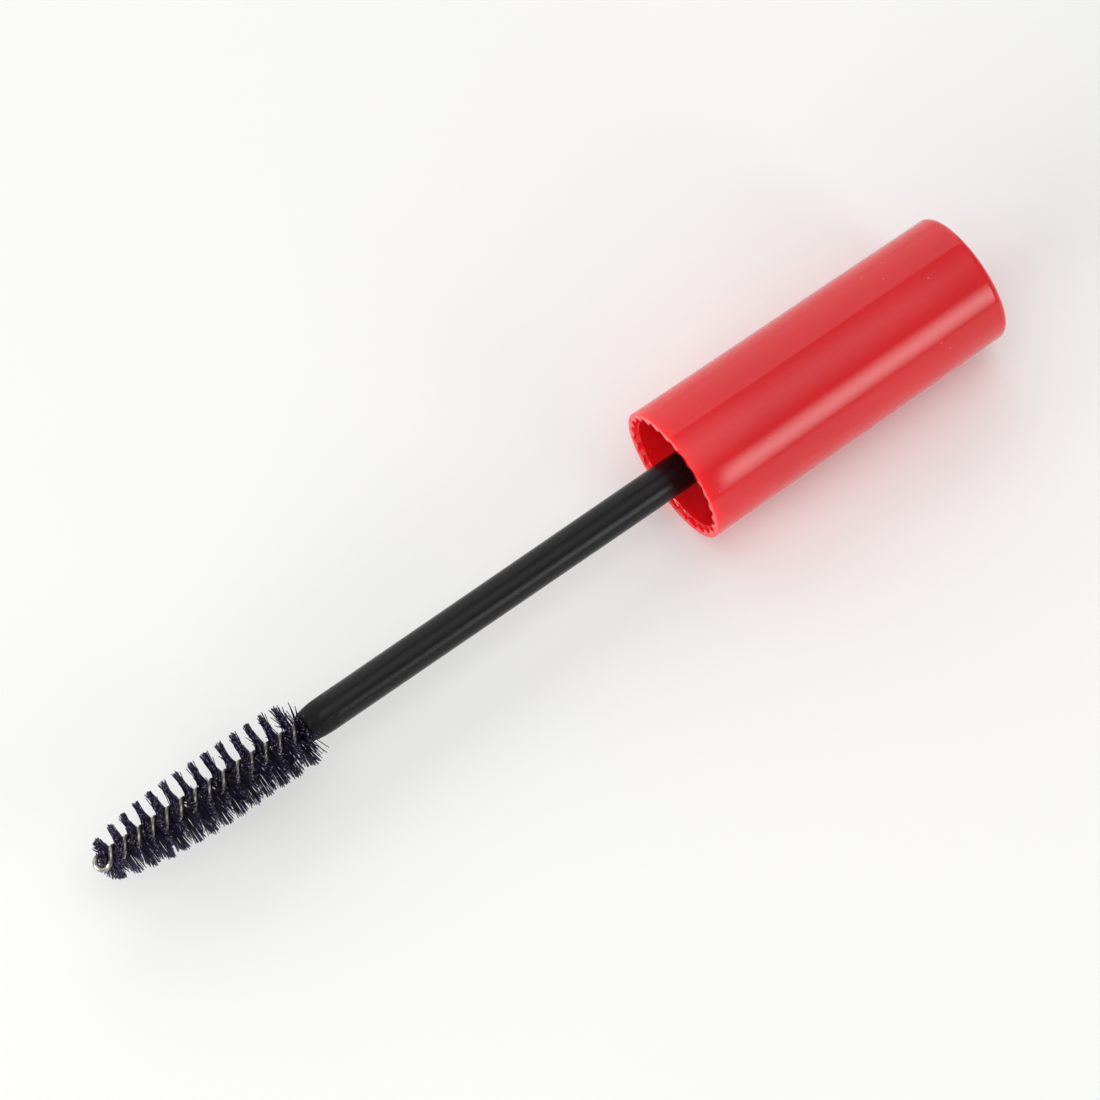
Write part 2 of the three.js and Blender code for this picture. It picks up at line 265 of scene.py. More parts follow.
def per_mm(size):
    """Texture scale, in object coordinates, of a pattern whose features are this many mm across."""
    return 1 / (size * MM)


def add_node(tree, kind, settings=None, inputs=None):
    """Adds a node with its settings, and sets or links its inputs."""
    node = tree.nodes.new(kind)
    for key, value in (settings or {}).items():
        setattr(node, key, value)
    for key, value in (inputs or {}).items():
        if isinstance(value, bpy.types.NodeSocket):
            tree.links.new(value, node.inputs[key])
        else:
            node.inputs[key].default_value = value
    return node


def empty_material(name):
    """A new material with only an output and a Principled shader, and its node tree."""
    material = bpy.data.materials.new(name)
    material.use_nodes = True
    tree = material.node_tree
    tree.nodes.clear()
    shader = add_node(tree, "ShaderNodeBsdfPrincipled")
    add_node(tree, "ShaderNodeOutputMaterial", inputs={"Surface": shader.outputs["BSDF"]})
    return material, tree, shader


def rgba(colour, gain=1.0):
    """A linear colour with full alpha, made lighter or darker by a gain."""
    return (*[min(1.0, channel * gain) for channel in colour], 1.0)


def polished_polypropylene(colour, roughness):
    """Polypropylene, injection moulded in a polished tool.

    The polish gives crisp reflections that soften a little where the skin sank, the pigment lies
    in faint flow clouds, and light that enters the wall comes out redder at the thin lip.
    """
    material, tree, shader = empty_material("polypropylene_moulded_polished")
    place = add_node(tree, "ShaderNodeTexCoord").outputs["Object"]
    along_flow = add_node(tree, "ShaderNodeMapping", inputs={
        "Vector": place, "Scale": (0.35, 1, 1)})
    clouds = add_node(tree, "ShaderNodeTexNoise", inputs={
        "Vector": along_flow.outputs["Vector"], "Scale": per_mm(9), "Detail": 3.0})
    pigment = add_node(tree, "ShaderNodeMix", {"data_type": "RGBA"}, {
        "Factor": clouds.outputs["Fac"], "A": rgba(colour, 0.93), "B": rgba(colour, 1.07)})

    # Airborne dust on the gloss: sparse pale specks about a tenth of a millimetre across.
    cells = add_node(tree, "ShaderNodeTexVoronoi", inputs={"Vector": place, "Scale": per_mm(1.9)})
    speck = add_node(tree, "ShaderNodeMath", {"operation": "LESS_THAN"}, {
        0: cells.outputs["Distance"], 1: 0.05})
    chosen = add_node(tree, "ShaderNodeSeparateColor", inputs={"Color": cells.outputs["Color"]})
    sparse = add_node(tree, "ShaderNodeMath", {"operation": "LESS_THAN"}, {
        0: chosen.outputs["Red"], 1: 0.55})
    dust = add_node(tree, "ShaderNodeMath", {"operation": "MULTIPLY"}, {
        0: speck.outputs["Value"], 1: sparse.outputs["Value"]})
    dusted = add_node(tree, "ShaderNodeMix", {"data_type": "RGBA"}, {
        "Factor": dust.outputs["Value"], "A": pigment.outputs["Result"],
        "B": rgba(linear(DUST_COLOUR))})
    tree.links.new(dusted.outputs["Result"], shader.inputs["Base Color"])

    haze = add_node(tree, "ShaderNodeTexNoise", inputs={
        "Vector": along_flow.outputs["Vector"], "Scale": per_mm(2.5), "Detail": 4.0})
    gloss = add_node(tree, "ShaderNodeMapRange", inputs={
        "Value": haze.outputs["Fac"], "To Min": roughness - 0.02, "To Max": roughness + 0.04})
    tree.links.new(gloss.outputs["Result"], shader.inputs["Roughness"])

    # Sink of the skin between the flow lines, a few micrometres deep.
    sink = add_node(tree, "ShaderNodeTexNoise", inputs={
        "Vector": along_flow.outputs["Vector"], "Scale": per_mm(5), "Detail": 2.0})
    relief = add_node(tree, "ShaderNodeBump", inputs={
        "Height": sink.outputs["Fac"], "Strength": 0.2, "Distance": 0.02 * MM})
    tree.links.new(relief.outputs["Normal"], shader.inputs["Normal"])
    shader.inputs["IOR"].default_value = 1.49
    shader.inputs["Subsurface Weight"].default_value = 1.0
    shader.inputs["Subsurface Radius"].default_value = (1.0, 0.05, 0.05)
    shader.inputs["Subsurface Scale"].default_value = 3.0 * MM
    return material


def satin_acetal(colour, roughness):
    """Acetal, injection moulded in a tool polished along its length.

    The tool marks show as fine lengthwise lines, and short ripples break up the narrow
    reflections. A few smears of dried product dull it near the nose.
    """
    material, tree, shader = empty_material("acetal_moulded_satin")
    place = add_node(tree, "ShaderNodeTexCoord").outputs["Object"]
    drawn = add_node(tree, "ShaderNodeMapping", inputs={"Vector": place, "Scale": (0.12, 1, 1)})
    lines = add_node(tree, "ShaderNodeTexNoise", inputs={
        "Vector": drawn.outputs["Vector"], "Scale": per_mm(0.35), "Detail": 3.0})
    tone = add_node(tree, "ShaderNodeMix", {"data_type": "RGBA"}, {
        "Factor": lines.outputs["Fac"], "A": rgba(colour, 0.8), "B": rgba(colour, 1.35)})
    smears = add_node(tree, "ShaderNodeTexNoise", inputs={
        "Vector": place, "Scale": per_mm(1.6), "Detail": 5.0, "Roughness": 0.6})
    spot = add_node(tree, "ShaderNodeSeparateXYZ", inputs={"Vector": place})
    cover = add_node(tree, "ShaderNodeMapRange", inputs={
        "Value": spot.outputs["X"],
        "From Min": ROD_NOSE + NOSE_COVER_LENGTH, "From Max": ROD_NOSE,
        "To Min": 0.0, "To Max": 0.3})
    smear = add_node(tree, "ShaderNodeMath", {"operation": "ADD"}, {
        0: smears.outputs["Fac"], 1: cover.outputs["Result"]})
    spots = add_node(tree, "ShaderNodeMapRange", inputs={
        "Value": smear.outputs["Value"], "From Min": 0.62, "From Max": 0.7})
    nose_share = add_node(tree, "ShaderNodeMapRange", inputs={
        "Value": spot.outputs["X"],
        "From Min": ROD_NOSE + RESIDUE_END, "From Max": ROD_NOSE + RESIDUE_FULL})
    residue = add_node(tree, "ShaderNodeMath", {"operation": "MULTIPLY"}, {
        0: spots.outputs["Result"], 1: nose_share.outputs["Result"]})
    smeared = add_node(tree, "ShaderNodeMix", {"data_type": "RGBA"}, {
        "Factor": residue.outputs["Value"], "A": tone.outputs["Result"],
        "B": rgba(linear(RESIDUE_COLOUR))})
    tree.links.new(smeared.outputs["Result"], shader.inputs["Base Color"])

    satin = add_node(tree, "ShaderNodeMapRange", inputs={
        "Value": lines.outputs["Fac"], "To Min": roughness - 0.08, "To Max": roughness + 0.1})
    dulled = add_node(tree, "ShaderNodeMath", {"operation": "MULTIPLY_ADD"}, {
        0: residue.outputs["Value"], 1: 0.3, 2: satin.outputs["Result"]})
    tree.links.new(dulled.outputs["Value"], shader.inputs["Roughness"])

    ripples = add_node(tree, "ShaderNodeTexNoise", inputs={
        "Vector": place, "Scale": per_mm(0.45), "Detail": 3.0, "Roughness": 0.55})
    fine = add_node(tree, "ShaderNodeBump", inputs={
        "Height": lines.outputs["Fac"], "Strength": 0.4, "Distance": 0.01 * MM})
    relief = add_node(tree, "ShaderNodeBump", inputs={
        "Height": ripples.outputs["Fac"], "Strength": 0.5, "Distance": 0.02 * MM,
        "Normal": fine.outputs["Normal"]})
    tree.links.new(relief.outputs["Normal"], shader.inputs["Normal"])
    shader.inputs["IOR"].default_value = 1.48
    shader.inputs["Specular IOR Level"].default_value = 0.28
    return material


def skived_foam(colour):
    """Polyethylene foam, skived from a block and punched to a ring.

    The cut opens its cells, which show as small pits in a matt charcoal face. The face is also
    painted darker where the cell relief is low: painted shade in the pits.
    """
    material, tree, shader = empty_material("polyethylene_foam_skived")
    place = add_node(tree, "ShaderNodeTexCoord").outputs["Object"]
    cells = add_node(tree, "ShaderNodeTexVoronoi", inputs={"Vector": place, "Scale": per_mm(0.3)})
    # Painted shade: the colour darkens with the cell distance that also sinks the relief, so the
    # low parts are painted darker.
    tone = add_node(tree, "ShaderNodeMix", {"data_type": "RGBA"}, {
        "Factor": cells.outputs["Distance"], "A": rgba(colour), "B": rgba(colour, 0.75)})
    tree.links.new(tone.outputs["Result"], shader.inputs["Base Color"])
    relief = add_node(tree, "ShaderNodeBump", inputs={
        "Height": cells.outputs["Distance"], "Strength": 0.6, "Distance": 0.05 * MM})
    relief.invert = True
    tree.links.new(relief.outputs["Normal"], shader.inputs["Normal"])
    shader.inputs["Roughness"].default_value = 0.85
    return material


def drawn_stainless(colour):
    """Stainless steel wire, drawn through a die.

    Drawing leaves it bright with fine marks, and a thin film of product darkens it in patches.
    """
    material, tree, shader = empty_material("stainless_wire_drawn")
    place = add_node(tree, "ShaderNodeTexCoord").outputs["Object"]
    film = add_node(tree, "ShaderNodeTexNoise", inputs={
        "Vector": place, "Scale": per_mm(0.8), "Detail": 3.0})
    patch = add_node(tree, "ShaderNodeMapRange", inputs={
        "Value": film.outputs["Fac"], "From Min": 0.4, "From Max": 0.62})
    tone = add_node(tree, "ShaderNodeMix", {"data_type": "RGBA"}, {
        "Factor": patch.outputs["Result"], "A": rgba(colour), "B": rgba(colour, 0.5)})
    tree.links.new(tone.outputs["Result"], shader.inputs["Base Color"])
    gloss = add_node(tree, "ShaderNodeMapRange", inputs={
        "Value": film.outputs["Fac"], "To Min": 0.26, "To Max": 0.44})
    tree.links.new(gloss.outputs["Result"], shader.inputs["Roughness"])
    marks = add_node(tree, "ShaderNodeTexNoise", inputs={
        "Vector": place, "Scale": per_mm(0.12), "Detail": 2.0})
    relief = add_node(tree, "ShaderNodeBump", inputs={
        "Height": marks.outputs["Fac"], "Strength": 0.3, "Distance": 0.004 * MM})
    tree.links.new(relief.outputs["Normal"], shader.inputs["Normal"])
    shader.inputs["Metallic"].default_value = 1.0
    return material


def extruded_nylon(colour, tint):
    """Nylon filament, extruded and dyed violet-black.

    Each fibre takes the dye a little differently, and its smooth round side catches a thin bright
    line. Its cut ends are painted paler, more on some fibres than others: a painted glint of light
    caught on the cut.
    """
    material, tree, shader = empty_material("nylon_filament_extruded")
    place = add_node(tree, "ShaderNodeTexCoord").outputs["Object"]
    dye = add_node(tree, "ShaderNodeAttribute", {"attribute_name": "fibre_shade"})
    worn = add_node(tree, "ShaderNodeTexNoise", inputs={
        "Vector": place, "Scale": per_mm(0.7), "Detail": 2.0})
    share = add_node(tree, "ShaderNodeMath", {"operation": "MULTIPLY"}, {
        0: dye.outputs["Fac"], 1: worn.outputs["Fac"]})
    tone = add_node(tree, "ShaderNodeMix", {"data_type": "RGBA"}, {
        "Factor": share.outputs["Value"], "A": rgba(colour), "B": rgba(tint, 1.5)})
    # Painted glint: the cut ends are painted pale, by a random share for each fibre, in place of
    # light caught on them.
    cut = add_node(tree, "ShaderNodeAttribute", {"attribute_name": "fibre_cut"})
    pale = add_node(tree, "ShaderNodeMath", {"operation": "MULTIPLY"}, {
        0: cut.outputs["Fac"], 1: dye.outputs["Fac"]})
    tipped = add_node(tree, "ShaderNodeMix", {"data_type": "RGBA"}, {
        "Factor": pale.outputs["Value"], "A": tone.outputs["Result"],
        "B": rgba(linear(FIBRE_END_GLINT_COLOUR))})
    tree.links.new(tipped.outputs["Result"], shader.inputs["Base Color"])
    gloss = add_node(tree, "ShaderNodeMapRange", inputs={
        "Value": worn.outputs["Fac"], "To Min": 0.28, "To Max": 0.5})
    tree.links.new(gloss.outputs["Result"], shader.inputs["Roughness"])
    shader.inputs["IOR"].default_value = 1.53
    shader.inputs["Specular IOR Level"].default_value = 0.35
    return material


# ---- Cap ----------------------------------------------------------------------------------
CAP_SEGMENTS_PER_TOOTH = 18
END_WALL = 1.4 * MM
GATE_RADIUS = 1.1 * MM  # the dimple that the moulding gate leaves on the closed end
GATE_DEPTH = 0.3 * MM
GATE_RIM = 0.1 * MM
GATE_CORNER = 0.05 * MM
GATE_SIDE_SHARE = 0.78  # the dimple's radius above its corner and at its floor, as shares
GATE_FLOOR_SHARE = 0.7
EDGE_BREAK = 0.03 * MM
FLOOR_ROUND = 0.6 * MM
DRAFT_RINGS = (0.25, 0.5, 0.75)  # shares of the cap's length where its drafted side has a ring
SKIRT_DEPTH = 5 * MM
THREAD_ROOT_RADIUS = 6.65 * MM
THREAD_HEIGHT = 0.5 * MM
THREAD_START = 6.2 * MM
THREAD_FOOT = 0.46 * MM  # half width of the ridge where it meets the wall
THREAD_CREST = 0.2 * MM
THREAD_FADE_TURNS = 0.2
THREAD_RING_GAP = 0.15 * MM
THREAD_END = 12 * MM
THREAD_RUNOUT = 0.3 * MM  # plain wall between the skirt and the first ring of the thread
THREAD_RELIEF = 0.6 * MM
SEAT_DEPTH = 14 * MM  # where the rod's head plate meets the washer
SEAT_RADIUS = 6.3 * MM
SEAT_CHAMFER = 0.35 * MM
HEAD_PLATE = 1.4 * MM
PLUG_BORE_RADIUS = 5.95 * MM
SNAP_DEPTH = 17.5 * MM
SNAP_HEIGHT = 0.25 * MM
GROOVE_FOOT = 0.8 * MM  # half width of the snap groove at the bore, and at its floor
GROOVE_FLOOR = 0.4 * MM
TOOTH_TIP_RADIUS = 6.75 * MM
TOOTH_SLOPE_SHARE = 0.78  # share of each tooth's pitch that its sloping flank takes
TOOTH_PHASE = math.radians(-5.5)
TOOTH_ROUND = 0.14  # half width of the rounding along the lip, as a share of each tooth's pitch
TOOTH_EDGE = 0.1 * MM
TOOTH_EDGE_SHARE = 0.3  # where the edge's corner is cut, as a share of TOOTH_EDGE
TOOTH_SAMPLES = 5  # places averaged for the rounding
TOOTH_SLIP = 0.02  # wear of each tooth: sideways as a share of its pitch, and in depth
TOOTH_CUT = 0.05 * MM
TOOTH_SEED = 5
TOOTH_CLEARANCE = 0.035 * MM  # least step from the skirt's bore out to a tooth
TOOTH_DRAFT = 0.1
RING_TOLERANCE = 1e-6


def cap_outline(cap):
    """The cap's section from the middle of its inner floor, out through the mouth, to the gate."""
    floor = CAP_LENGTH - END_WALL
    seat_end = SEAT_DEPTH + HEAD_PLATE
    snap_radius = PLUG_BORE_RADIUS + SNAP_HEIGHT
    root = cap.tooth_root_radius
    depth = cap.tooth_depth
    edge = TOOTH_EDGE
    skirt = cap.skirt_radius
    thread_run = THREAD_END - SKIRT_DEPTH - THREAD_RUNOUT
    thread_rings = round(thread_run / THREAD_RING_GAP)
    thread_step = thread_run / thread_rings
    return [
        (floor, 0),
        *arc(floor - FLOOR_ROUND, PLUG_BORE_RADIUS - FLOOR_ROUND, FLOOR_ROUND, 0, 90, 5),
        (SNAP_DEPTH + GROOVE_FOOT, PLUG_BORE_RADIUS),
        (SNAP_DEPTH + GROOVE_FLOOR, snap_radius),
        (SNAP_DEPTH - GROOVE_FLOOR, snap_radius),
        (SNAP_DEPTH - GROOVE_FOOT, PLUG_BORE_RADIUS),
        (seat_end, PLUG_BORE_RADIUS),
        (seat_end - SEAT_CHAMFER, SEAT_RADIUS),
        (THREAD_END + THREAD_RELIEF, SEAT_RADIUS),
        *[(THREAD_END - ring * thread_step, THREAD_ROOT_RADIUS)
          for ring in range(thread_rings + 1)],
        (SKIRT_DEPTH, skirt),
        (depth + EDGE_BREAK, skirt),
        (depth, skirt + EDGE_BREAK),
        (depth, root - edge),
        (depth - edge, root),
        (edge, root),
        (edge * TOOTH_EDGE_SHARE, root + edge * TOOTH_EDGE_SHARE),
        (0, root + edge),
        *arc(cap.lip_round, CAP_RADIUS - cap.lip_round, cap.lip_round, 180, 90, 4),
        *[(CAP_LENGTH * share, CAP_RADIUS + (cap.top_radius - CAP_RADIUS) * share)
          for share in DRAFT_RINGS],
        *arc(CAP_LENGTH - cap.top_round, cap.top_radius - cap.top_round, cap.top_round, 90, 0, 10),
        (CAP_LENGTH, GATE_RADIUS + GATE_RIM),
        (CAP_LENGTH - EDGE_BREAK, GATE_RADIUS),
        (CAP_LENGTH - GATE_DEPTH + GATE_CORNER, GATE_RADIUS * GATE_SIDE_SHARE),
        (CAP_LENGTH - GATE_DEPTH, GATE_RADIUS * GATE_FLOOR_SHARE),
        (CAP_LENGTH - GATE_DEPTH, 0),
    ]


def thread_height(cap, depth, angle):
    """Height of the right-handed thread above the wall at a depth and an angle."""
    first = (angle - math.pi) / math.tau % 1
    height = 0
    for turn in (first, first + 1, first + 2):
        if turn > cap.thread_turns:
            continue
        off = abs(depth - THREAD_START - turn * cap.thread_pitch)
        ridge = min(1, max(0, (THREAD_FOOT - off) / (THREAD_FOOT - THREAD_CREST)))
        fade = min(1, turn / THREAD_FADE_TURNS, (cap.thread_turns - turn) / THREAD_FADE_TURNS)
        height = max(height, THREAD_HEIGHT * ridge * ridge * (3 - 2 * ridge) * fade)
    return height


def tooth_radius(cap, angle, wear):
    """Radius of the pockets' outer wall: it slopes in along each tooth and steps out again, and
    the moulding rounds the corners."""
    fall = cap.tooth_root_radius - TOOTH_TIP_RADIUS
    middle = TOOTH_SAMPLES // 2
    total = 0
    for sample in range(TOOTH_SAMPLES):
        shift = (sample - middle) * TOOTH_ROUND / middle
        place = (angle - TOOTH_PHASE) / math.tau * cap.tooth_count + shift
        tooth = math.floor(place)
        slip, cut = wear[tooth % cap.tooth_count]
        share = (place - tooth + slip) % 1
        if share < TOOTH_SLOPE_SHARE:
            total += cap.tooth_root_radius - fall * share / TOOTH_SLOPE_SHARE + cut
        else:
            rise = fall * (share - TOOTH_SLOPE_SHARE) / (1 - TOOTH_SLOPE_SHARE)
            total += TOOTH_TIP_RADIUS + rise + cut
    return total / TOOTH_SAMPLES


def cap_relief(cap):
    """The rule that raises the thread on the bore and cuts the teeth's outline into the lip."""
    draws = random.Random(TOOTH_SEED)
    wear = [
        (draws.uniform(-TOOTH_SLIP, TOOTH_SLIP), draws.uniform(-TOOTH_CUT, TOOTH_CUT))
        for _ in range(cap.tooth_count)
    ]
    narrowest = cap.skirt_radius + TOOTH_CLEARANCE

    def rule(depth, radius, angle):
        if abs(radius - THREAD_ROOT_RADIUS) < RING_TOLERANCE:
            return radius - thread_height(cap, depth, angle)
        on_wall = abs(radius - cap.tooth_root_radius) <= TOOTH_EDGE * 1.01
        if depth <= cap.tooth_depth + RING_TOLERANCE and on_wall:
            moved = radius - cap.tooth_root_radius + tooth_radius(cap, angle, wear)
            lift = (radius - cap.tooth_root_radius + TOOTH_EDGE) * TOOTH_DRAFT
            return max(moved, narrowest + lift)
        return radius

    return rule


class APPLICATOR_OT_cap(bpy.types.Operator):
    """Makes the screw cap with its ratchet teeth, inner thread and gate mark"""

    bl_idname = "applicator.cap"
    bl_label = "Screw cap"

    def execute(self, context):
        cap = context.scene.applicator_cap
        shape = spun(cap_outline(cap), cap.tooth_count * CAP_SEGMENTS_PER_TOOTH)
        reshape(shape, cap_relief(cap))
        bmesh.ops.translate(shape, verts=shape.verts, vec=(MOUTH, 0, 0))
        plastic = polished_polypropylene(cap.colour, cap.roughness)
        finish_piece(shape, "cap_moulding", plastic, ["cap"], crease=40)
        return {"FINISHED"}


# ---- Rod and washer -----------------------------------------------------------------------
ROD_SEGMENTS = 96
WIRE_BORE_RADIUS = 1.25 * MM
WIRE_BORE_DEPTH = 9 * MM
WIRE_BORE_CONE = 0.5 * MM
WIRE_BORE_LEAD = 0.1 * MM  # lead-in of the bore: how deep, and how much wider
WIRE_BORE_FLARE = 0.05 * MM
NOSE_EDGE_ROUND = 0.25 * MM
NOSE_STEPS = 8
HEAD_FILLET = 0.5 * MM
FIT_GAP = 0.12 * MM
PLATE_CHAMFER = 0.1 * MM
PLATE_SHOULDER = 0.55 * MM
RING_FOOT = 0.6 * MM  # half width of the snap ring at the plug, and at its crest
RING_CREST = 0.2 * MM
PLUG_LEAD = 0.4 * MM  # lead-in of the plug: how long, and how much narrower
PLUG_TAPER = 0.35 * MM
PLUG_CORNER = 0.4 * MM
PLUG_RADIUS = 5.8 * MM
PLUG_WALL = 0.95 * MM
PLUG_LENGTH = 9 * MM
WASHER_EDGE = 0.12 * MM


def rod_outline(rod):
    """The rod's section from the end of its wire bore, round the outside, to its hollow plug."""
    nose = ROD_NOSE - MOUTH
    bore_end = nose + WIRE_BORE_DEPTH
    plate_radius = SEAT_RADIUS - FIT_GAP
    plate_end = SEAT_DEPTH + HEAD_PLATE
    plug_end = SEAT_DEPTH + PLUG_LENGTH
    plug_inner = PLUG_RADIUS - PLUG_WALL
    snap_radius = PLUG_RADIUS + SNAP_HEIGHT
    tip_round = NOSE_EDGE_ROUND
    nose_side = []
    for step in range(1, NOSE_STEPS + 1):
        share = step / NOSE_STEPS
        swell = math.sin(share * math.pi / 2)
        radius = rod.nose_tip_radius + (rod.nose_radius - rod.nose_tip_radius) * swell
        nose_side.append((nose + tip_round + (rod.nose_length - tip_round) * share, radius))
    return [
        (bore_end + WIRE_BORE_CONE, 0),
        (bore_end, WIRE_BORE_RADIUS),
        (nose + WIRE_BORE_LEAD, WIRE_BORE_RADIUS),
        (nose, WIRE_BORE_RADIUS + WIRE_BORE_FLARE),
        *arc(nose + tip_round, rod.nose_tip_radius - tip_round, tip_round, 180, 90, 4),
        *nose_side,
        (0, rod.radius),
        *arc(SEAT_DEPTH - HEAD_FILLET, rod.radius + HEAD_FILLET, HEAD_FILLET, 270, 360, 5),
        (SEAT_DEPTH, plate_radius - PLATE_CHAMFER),
        (SEAT_DEPTH + PLATE_CHAMFER, plate_radius),
        (plate_end - PLATE_SHOULDER, plate_radius),
        (plate_end, PLUG_RADIUS),
        (SNAP_DEPTH - RING_FOOT, PLUG_RADIUS),
        (SNAP_DEPTH - RING_CREST, snap_radius),
        (SNAP_DEPTH + RING_CREST, snap_radius),
        (SNAP_DEPTH + RING_FOOT, PLUG_RADIUS),
        (plug_end - PLUG_LEAD, PLUG_RADIUS),
        (plug_end, PLUG_RADIUS - PLUG_TAPER),
        (plug_end, plug_inner),
        (plate_end + PLUG_CORNER, plug_inner),
        (plate_end, plug_inner - PLUG_CORNER),
        (plate_end, 0),
    ]


class APPLICATOR_OT_rod(bpy.types.Operator):
    """Makes the rod with its rounded nose, head plate and hollow plug"""

    bl_idname = "applicator.rod"
    bl_label = "Rod"

    def execute(self, context):
        rod = context.scene.applicator_rod
        shape = spun(rod_outline(rod), ROD_SEGMENTS)
        bmesh.ops.translate(shape, verts=shape.verts, vec=(MOUTH, 0, 0))
        plastic = satin_acetal(rod.colour, rod.roughness)
        finish_piece(shape, "rod_moulding", plastic, ["rod"])
        return {"FINISHED"}


class APPLICATOR_OT_washer(bpy.types.Operator):
    """Makes the foam washer that seals the bottle's neck"""

    bl_idname = "applicator.washer"
    bl_label = "Sealing washer"

    def execute(self, context):
        rod = context.scene.applicator_rod
        outer = (WASHER_HIGH.z - WASHER_LOW.z) / 2
        inner = rod.radius + HEAD_FILLET + FIT_GAP
        low, high = WASHER_LOW.x, WASHER_HIGH.x
        edge = WASHER_EDGE
        outline = [
            *arc(low + edge, inner + edge, edge, 270, 180, 3),
            *arc(low + edge, outer - edge, edge, 180, 90, 3),
            *arc(high - edge, outer - edge, edge, 90, 0, 3),
            *arc(high - edge, inner + edge, edge, 0, -90, 3),
        ]
        shape = spun([*outline, outline[0]], ROD_SEGMENTS)
        foam = skived_foam(rod.washer_colour)
        finish_piece(shape, "washer_ring", foam, ["seal_washer"])
        return {"FINISHED"}


# ---- Brush --------------------------------------------------------------------------------
TUFT_PLACE = MOUTH - 50.45 * MM  # a place along the wand where the fibres lie at TUFT_ANGLE
TUFT_ANGLE = math.radians(19.4)
LOOP_REACH = 0.85 * MM
TWIST_EASE = 1 * MM  # length over which the twist runs out into the loop
SHANK_LENGTH = 8 * MM
WIRE_STEPS_PER_TURN = 28
LOOP_STEPS = 18
BEND_REACH = 0.36 * MM  # how far the wire has bent off the wand's axis by its tip
BEND_ANGLE = math.radians(19.6)  # the side it bends to
BEND_LENGTH = 22.8 * MM
BEND_INSIDE = 1.5 * MM  # how far inside the rod the bend starts
BRUSH_NOSE_LENGTH = 15 * MM
BRUSH_TIP_SHARE = 0.323  # brush radius at its very tip, as a share of the full radius
TRIM_SHIFT = 0.3 * MM  # how far off the wand's axis the fibres are trimmed at the tip
FIBRE_SIDES = 5
FIBRE_CUTS = (-0.985, -0.6, -0.34, -0.2, -0.1, 0.1, 0.2, 0.34, 0.6, 0.985)
GRIP_HALF_WIDTH = 0.42 * MM  # half the thickness of the fibres between the strands
FLARE = 0.32 * MM  # how far the outermost fibres swing out round the strands
FLARE_PLACE = 0.8 * MM  # how far out from the wire's middle they do so
FAN_START = 0.65 * MM
FRAY_LENGTH = 2 * MM
CLUMP = 7  # neighbouring fibres whose ends cling together
CLUMP_PULL = (0.25, 0.85)  # how far they close up, from least to most
FIBRE_THICKNESS = (0.88, 1.12)  # range of their diameters, as shares of the mean
FIBRE_REACH_SPREAD = 0.02  # deviation of their lengths, as a share
FIBRE_CUT_SPREAD = 0.06 * MM  # deviation of how far they fall short of the trim
FIBRE_CROOK = 0.04  # deviation of how far an end bends along the wand, as a share
FIBRE_END = 0.99  # share of a fibre's half length past which the cut starts
FIBRE_RUN = 0.02  # step, as a share, over which a fibre's direction is measured
LAYER_FAN = 0.3  # share of the spread that goes with a fibre's layer
RANDOM_FAN = 0.7  # share of the spread that is drawn for each end
FAN_NEAR_ROD = 38  # degrees: deviation of the fan beside the rod
LEAN = 3  # degrees: deviation of the lean along the wand
LEAN_NEAR_ROD = (-14, 10)  # degrees
LEAN_OPEN_SIDE = (6, 22)  # degrees more beside the rod, away from the side the wire bends to
LEAN_NEAR_TIP = (-4, 38)  # degrees
LEAN_REACH = 0.6  # share of the brush radius at which a leaning fibre meets the trim
TRIM_NEAR_ROD = 0.12


def twist_end(brush):
    """Where the two strands run into the loop."""
    return TIP + brush.wire_radius + LOOP_REACH


def fibre_angle(brush, along):
    """Angle of the fibres about the axis. The strands stand square to it, and the twist is
    left-handed."""
    ease_start = twist_end(brush) + TWIST_EASE / 2
    past = max(0, ease_start - along)
    eased = past - past * past / (2 * TWIST_EASE) if past < TWIST_EASE else TWIST_EASE / 2
    turned = TUFT_PLACE - max(along, ease_start) + eased
    return TUFT_ANGLE + math.tau * turned / brush.twist_pitch


def bend(along):
    """How far the wire has bent off the wand's axis at a place along it."""
    share = min(1, max(0, (ROD_NOSE + BEND_INSIDE - along) / BEND_LENGTH))
    return BEND_REACH * (1 - math.cos(math.pi * share)) / 2


def beside(along, distance, angle):
    """The point at a distance and an angle from the middle of the bent wire."""
    off = bend(along)
    across = distance * math.cos(angle) + off * math.cos(BEND_ANGLE)
    up = distance * math.sin(angle) + off * math.sin(BEND_ANGLE)
    return Vector((along, across, up))


def wire_route(brush):
    """Middle of the wire: along one strand, round the loop at the tip, and back along the other."""
    start = ROD_NOSE + SHANK_LENGTH
    end = twist_end(brush)
    steps = round((start - end) / brush.twist_pitch * WIRE_STEPS_PER_TURN)
    strand = [(start + (end - start) * step / steps, brush.strand_radius) for step in range(steps)]
    turns = [math.pi / 2 - math.pi * step / LOOP_STEPS for step in range(LOOP_STEPS + 1)]
    loop = [
        (end - LOOP_REACH * math.cos(turn), brush.strand_radius * math.sin(turn)) for turn in turns
    ]
    back = [(along, -across) for along, across in reversed(strand)]
    return [
        beside(along, across, fibre_angle(brush, along) + math.pi / 2)
        for along, across in [*strand, *loop, *back]
    ]


